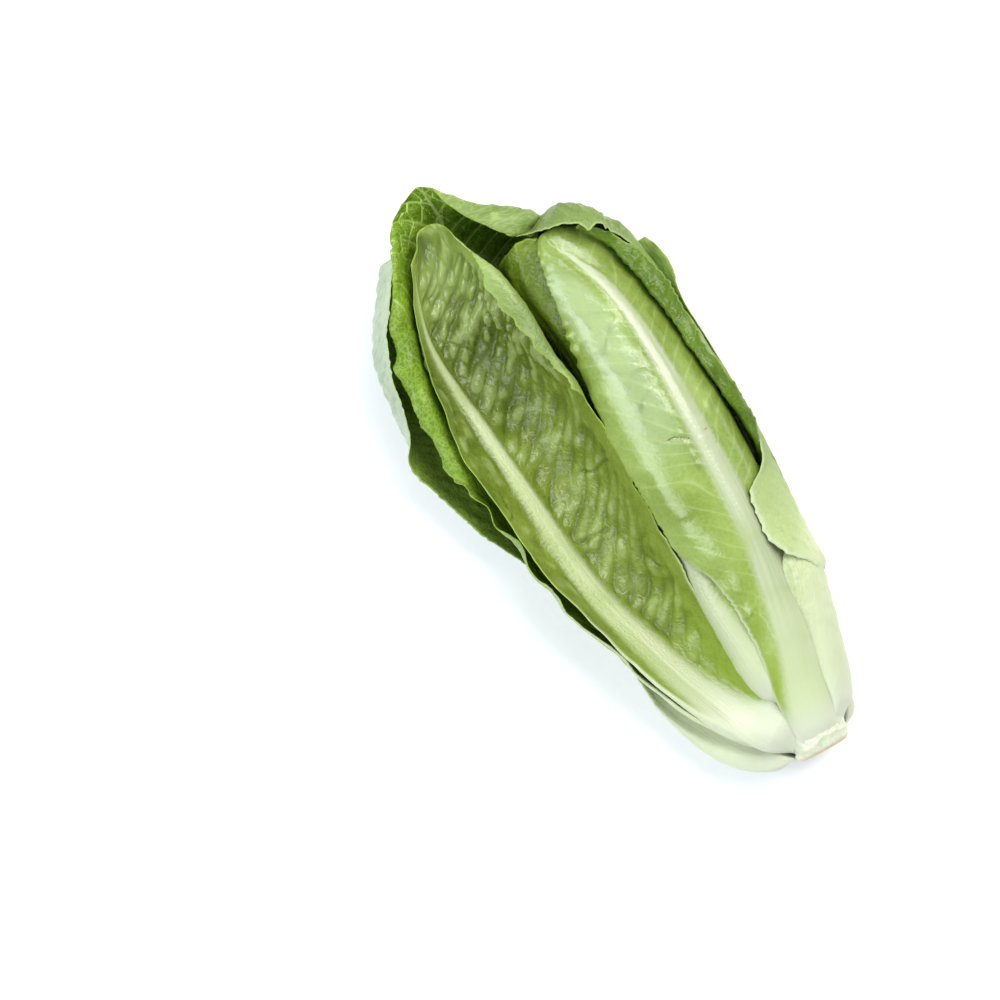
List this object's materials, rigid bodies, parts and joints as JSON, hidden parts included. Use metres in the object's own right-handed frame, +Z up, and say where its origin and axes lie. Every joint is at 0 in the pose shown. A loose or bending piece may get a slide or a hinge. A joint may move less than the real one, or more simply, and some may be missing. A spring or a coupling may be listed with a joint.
{
  "type": "romaine lettuce head",
  "caption": "Head of romaine lettuce lying on its side: long leaves with thick white ribs wrapped round a cut stem, one outer leaf fallen open as a channel.",
  "frame": {"origin": "on the table, under the middle of the head's bounding box", "axes": "+Y runs along the head from the cut stem to the leaf tips, +Z up from the table, +X to the side away from the open leaf"},
  "size_m": [0.1438, 0.3002, 0.0698],
  "materials": {
    "stem": "moist pale flesh, browned at the cut",
    "outer_leaf": "waxy dark green blade, cream rib",
    "heart_leaf": "crisp pale green blade, white rib"
  },
  "bodies": {
    "root": {"stem": "stem", "leaf_left_under": "outer_leaf", "leaf_right_under": "outer_leaf", "leaf_left_outer": "outer_leaf", "leaf_right_hood": "outer_leaf", "leaf_right_wrap": "outer_leaf", "leaf_open": "outer_leaf", "heart_leaf_under": "heart_leaf", "heart_leaf_top": "heart_leaf", "heart_leaf_left": "heart_leaf", "inner_leaf_1": "heart_leaf", "inner_leaf_2": "heart_leaf", "inner_leaf_3": "heart_leaf", "inner_leaf_4": "heart_leaf", "inner_leaf_5": "heart_leaf"}
  },
  "joints": []
}
